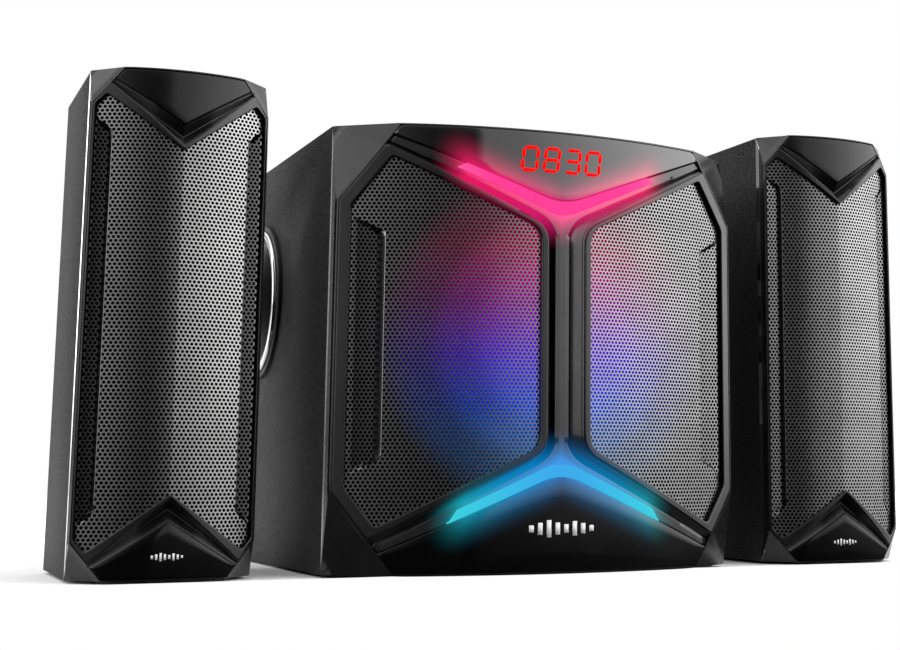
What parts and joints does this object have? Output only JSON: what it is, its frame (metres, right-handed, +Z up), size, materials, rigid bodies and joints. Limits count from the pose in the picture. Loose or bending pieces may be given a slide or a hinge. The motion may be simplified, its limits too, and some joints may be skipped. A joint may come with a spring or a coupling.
{
  "type": "desktop speakers",
  "caption": "Desktop loudspeaker set: side-ported subwoofer with a lit Y-shaped front trim and display, between tall faceted satellite towers behind perforated grilles.",
  "frame": {"origin": "on the floor, under the middle of the whole set's box, satellites included", "axes": "+X across the set to the viewer's right, +Y from the grilles to the rear panel, +Z up"},
  "size_m": [0.4936, 0.2846, 0.2621],
  "materials": {
    "grained_wrap": "fine grained charcoal wrap, matt",
    "satin_moulding": "satin moulded, faintly grained",
    "gloss_panel": "piano gloss",
    "grille_metal": "perforated sheet, metallic grey",
    "pink_light": "light guide",
    "cyan_light": "light guide",
    "display_red": "smoked window",
    "glow_ring": "diffuser",
    "chrome_trim": "polished",
    "rubber_black": "matt",
    "cone_paper": "pressed paper",
    "bare_steel": "plain",
    "black_metal": "black, satin",
    "circuit_board": "solder mask",
    "control_black": "satin",
    "black_plastic": "satin"
  },
  "bodies": {
    "subwoofer": {"sub_cabinet": "grained_wrap", "sub_front_frame": "satin_moulding", "sub_centre_trim": "gloss_panel", "sub_top_panel": "gloss_panel", "sub_bottom_panel": "gloss_panel", "sub_top_light": "pink_light", "sub_bottom_light": "cyan_light", "sub_grille_left": "grille_metal", "sub_grille_right": "grille_metal", "sub_display_module": "display_red", "woofer_basket": "bare_steel", "woofer_magnet": "bare_steel", "woofer_surround": "rubber_black", "sub_light_ring": "glow_ring", "port_flange": "black_plastic", "port_ring": "chrome_trim", "port_tube": "black_plastic", "control_panel": "black_plastic", "amp_plate": "black_metal", "heat_sink": "black_metal", "mains_inlet": "black_plastic", "switch_frame": "black_plastic", "output_jacks": "black_plastic", "amp_board": "circuit_board", "transformer": "bare_steel", "sub_foot_front_left": "rubber_black", "sub_foot_front_right": "rubber_black", "sub_foot_rear_left": "rubber_black", "sub_foot_rear_right": "rubber_black"},
    "woofer_cone": {"woofer_cone": "cone_paper"},
    "left_satellite": {"left_cabinet": "grained_wrap", "left_front_frame": "satin_moulding", "left_top_panel": "gloss_panel", "left_bottom_panel": "gloss_panel", "left_grille": "grille_metal", "left_driver_basket": "bare_steel", "left_driver_magnet": "bare_steel", "left_input_jack": "black_plastic", "left_front_foot": "rubber_black", "left_rear_foot": "rubber_black"},
    "left_driver_cone": {"left_driver_cone": "cone_paper"},
    "right_satellite": {"right_cabinet": "grained_wrap", "right_front_frame": "satin_moulding", "right_top_panel": "gloss_panel", "right_bottom_panel": "gloss_panel", "right_grille": "grille_metal", "right_driver_basket": "bare_steel", "right_driver_magnet": "bare_steel", "right_input_jack": "black_plastic", "right_front_foot": "rubber_black", "right_rear_foot": "rubber_black"},
    "right_driver_cone": {"right_driver_cone": "cone_paper"},
    "power_rocker": {"power_rocker": "black_plastic"},
    "volume_knob": {"volume_knob": "control_black"},
    "treble_knob": {"treble_knob": "control_black"},
    "bass_knob": {"bass_knob": "control_black"},
    "button_previous": {"button_previous": "control_black"},
    "button_play": {"button_play": "control_black"},
    "button_next": {"button_next": "control_black"}
  },
  "joints": [
    {"name": "left_satellite_place", "type": "slide", "parent": "subwoofer", "child": "left_satellite", "axis": [1, 0, 0], "range_m": [-0.2, 0.02]},
    {"name": "right_satellite_place", "type": "slide", "parent": "subwoofer", "child": "right_satellite", "axis": [1, 0, 0], "range_m": [-0.02, 0.2]},
    {"name": "woofer_stroke", "type": "slide", "parent": "subwoofer", "child": "woofer_cone", "axis": [0, 1, 0], "range_m": [-0.003, 0.003], "stiffness_N_per_m": 1500},
    {"name": "left_driver_stroke", "type": "slide", "parent": "left_satellite", "child": "left_driver_cone", "axis": [0, 1, 0], "range_m": [-0.0015, 0.0015], "stiffness_N_per_m": 1500},
    {"name": "right_driver_stroke", "type": "slide", "parent": "right_satellite", "child": "right_driver_cone", "axis": [0, 1, 0], "range_m": [-0.0015, 0.0015], "stiffness_N_per_m": 1500},
    {"name": "power_rocker_tilt", "type": "hinge", "parent": "subwoofer", "child": "power_rocker", "pos_m": [0.004, 0.12935, 0.0515], "axis": [0, 0, 1], "range_deg": [-14, 0]},
    {"name": "volume_knob_turn", "type": "hinge", "parent": "subwoofer", "child": "volume_knob", "pos_m": [0.1225, -0.03465, 0.1915], "axis": [1, 0, 0], "range_deg": [-150, 150]},
    {"name": "treble_knob_turn", "type": "hinge", "parent": "subwoofer", "child": "treble_knob", "pos_m": [0.1225, -0.03465, 0.1595], "axis": [1, 0, 0], "range_deg": [-150, 150]},
    {"name": "bass_knob_turn", "type": "hinge", "parent": "subwoofer", "child": "bass_knob", "pos_m": [0.1225, -0.03465, 0.1335], "axis": [1, 0, 0], "range_deg": [-150, 150]},
    {"name": "button_previous_press", "type": "slide", "parent": "subwoofer", "child": "button_previous", "axis": [-1, 0, 0], "range_m": [0, 0.001], "stiffness_N_per_m": 400},
    {"name": "button_play_press", "type": "slide", "parent": "subwoofer", "child": "button_play", "axis": [-1, 0, 0], "range_m": [0, 0.001], "stiffness_N_per_m": 400},
    {"name": "button_next_press", "type": "slide", "parent": "subwoofer", "child": "button_next", "axis": [-1, 0, 0], "range_m": [0, 0.001], "stiffness_N_per_m": 400}
  ]
}
